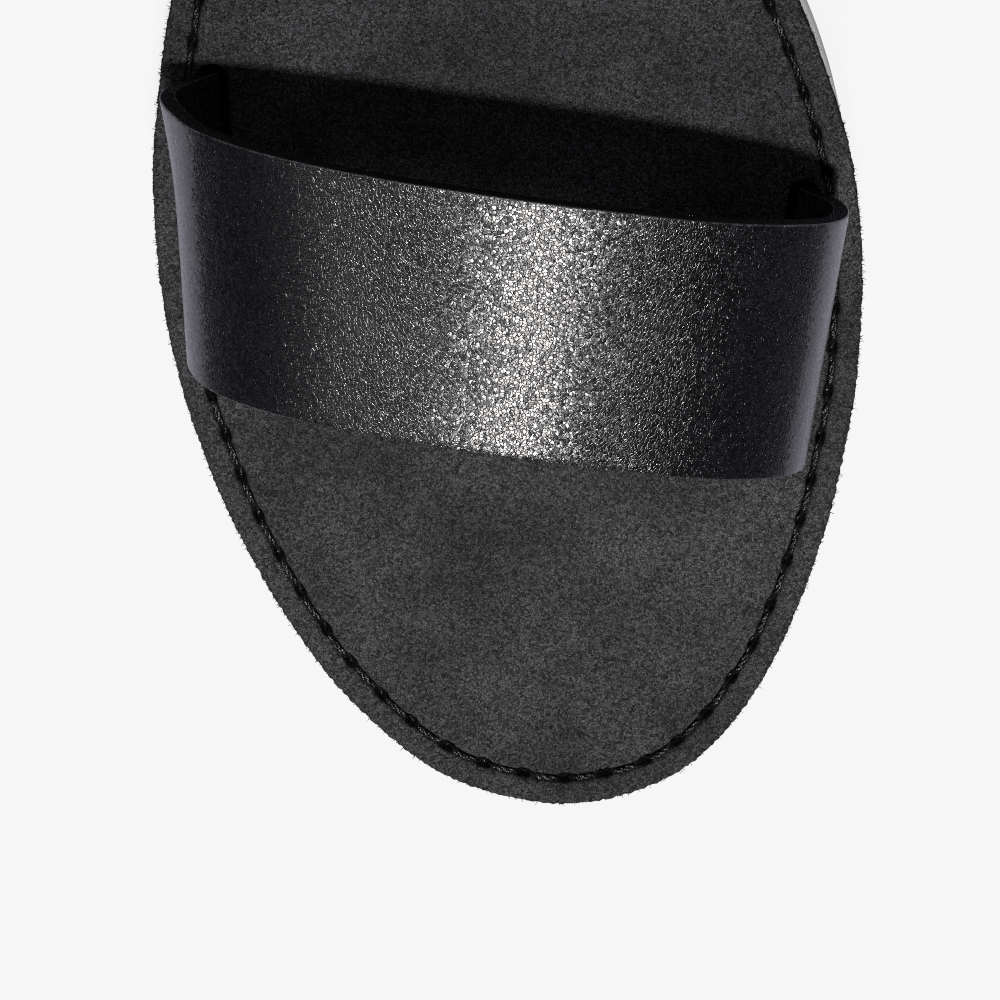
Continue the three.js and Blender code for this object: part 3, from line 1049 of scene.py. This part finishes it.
camera_data = bpy.data.cameras.new("camera")
camera_data.lens = view_lens
camera_data.sensor_width = 36
camera_data.clip_start = 0.05
camera = bpy.data.objects.new("camera", camera_data)
camera.rotation_euler = (-view_tilt, 0, 0)
camera.location = view_target + view_distance * Vector((0, math.sin(view_tilt), math.cos(view_tilt)))
bpy.context.scene.collection.objects.link(camera)
bpy.context.scene.camera = camera

# Lights. A small key light almost overhead, which throws the strap's shadow towards the heel.
# A narrow soft light above the toe makes the strap's highlight, a wide weak one fills in on
# the outer side, and a cooler one stands behind the heel.
key_power = 3.8


def aim(holder, direction):
    """Points a light along a direction."""
    holder.rotation_euler = Vector(direction).to_track_quat("-Z", "Y").to_euler()


key_data = bpy.data.lights.new("key light", "SUN")
key_data.energy = key_power
key_data.angle = math.radians(2.4)
key = bpy.data.objects.new("key light", key_data)
aim(key, (-0.04, 0.082, -1))
bpy.context.scene.collection.objects.link(key)

soft_rows = [
    # direction seen from the strap, distance, width, height, power, colour
    ((0.03, -0.55, 1.0), 1.25, 0.10, 0.45, 9.4, (1.0, 0.97, 0.945)),
    ((-0.65, -0.55, 1.0), 1.25, 0.95, 0.40, 0.95, (0.97, 0.98, 1.0)),
    ((0.0, 1.0, 0.8), 1.50, 0.80, 0.80, 3.6, (0.86, 0.88, 1.0)),
]
strap_top = Vector((0, -0.055, 0.05))
for direction, distance, width, height, power, colour in soft_rows:
    soft_data = bpy.data.lights.new("softbox", "AREA")
    soft_data.color = colour
    soft_data.shape = "RECTANGLE"
    soft_data.size = width
    soft_data.size_y = height
    soft_data.energy = power
    soft = bpy.data.objects.new("softbox", soft_data)
    soft.location = strap_top + Vector(direction).normalized() * distance
    aim(soft, strap_top - soft.location)
    bpy.context.scene.collection.objects.link(soft)

# Floor. A plain pale sheet a hair below the sole, a little larger than the sandal. The camera
# sees an even pale tone, and the sandal gets a slightly cool, dimmer light from it.
floor_width = 0.20
floor_length = 0.36
floor_gap = 0.0001

bm = bmesh.new()
bmesh.ops.create_grid(bm, x_segments=2, y_segments=2, size=0.5)
bmesh.ops.scale(bm, vec=(floor_width, floor_length, 1), verts=bm.verts)
bmesh.ops.translate(bm, vec=Vector((0, 0, -floor_gap)), verts=bm.verts)
floor_material, nodes, links, paint = node_material("pale floor")
paint.inputs["Base Color"].default_value = (0.05, 0.05, 0.05, 1)
paint.inputs["Roughness"].default_value = 0.9
paint.inputs["Specular IOR Level"].default_value = 0.0
paint.inputs["Emission Strength"].default_value = 1.0
seen = add_node(nodes, "ShaderNodeLightPath")
shown = add_node(nodes, "ShaderNodeMix", data_type="RGBA")
shown.inputs["A"].default_value = (0.48, 0.47, 0.56, 1)
shown.inputs["B"].default_value = (0.83, 0.83, 0.83, 1)
links.new(seen.outputs["Is Camera Ray"], shown.inputs["Factor"])
links.new(shown.outputs["Result"], paint.inputs["Emission Color"])
floor = new_mesh("floor", bm, [floor_material])

# Studio. The room is pale to the camera and dark to the sandal, so that it adds no haze to the
# black leather. The denoiser is off because it smears the leather's grain.
world = bpy.data.worlds.new("studio")
world.use_nodes = True
bpy.context.scene.world = world
nodes = world.node_tree.nodes
links = world.node_tree.links
path = add_node(nodes, "ShaderNodeLightPath")
glow = nodes["Background"]
tint = add_node(nodes, "ShaderNodeMix", data_type="RGBA")
tint.inputs["A"].default_value = (0.86, 0.88, 1.0, 1)
tint.inputs["B"].default_value = (1, 1, 1, 1)
links.new(path.outputs["Is Camera Ray"], tint.inputs["Factor"])
links.new(tint.outputs["Result"], glow.inputs["Color"])
amount = add_node(nodes, "ShaderNodeMapRange")
amount.inputs["To Min"].default_value = 0.06
amount.inputs["To Max"].default_value = 0.94
links.new(path.outputs["Is Camera Ray"], amount.inputs["Value"])
links.new(amount.outputs["Result"], glow.inputs["Strength"])
bpy.context.scene.view_settings.view_transform = "Standard"
bpy.context.scene.cycles.use_denoising = False
bpy.context.scene.cycles.filter_width = 1.1
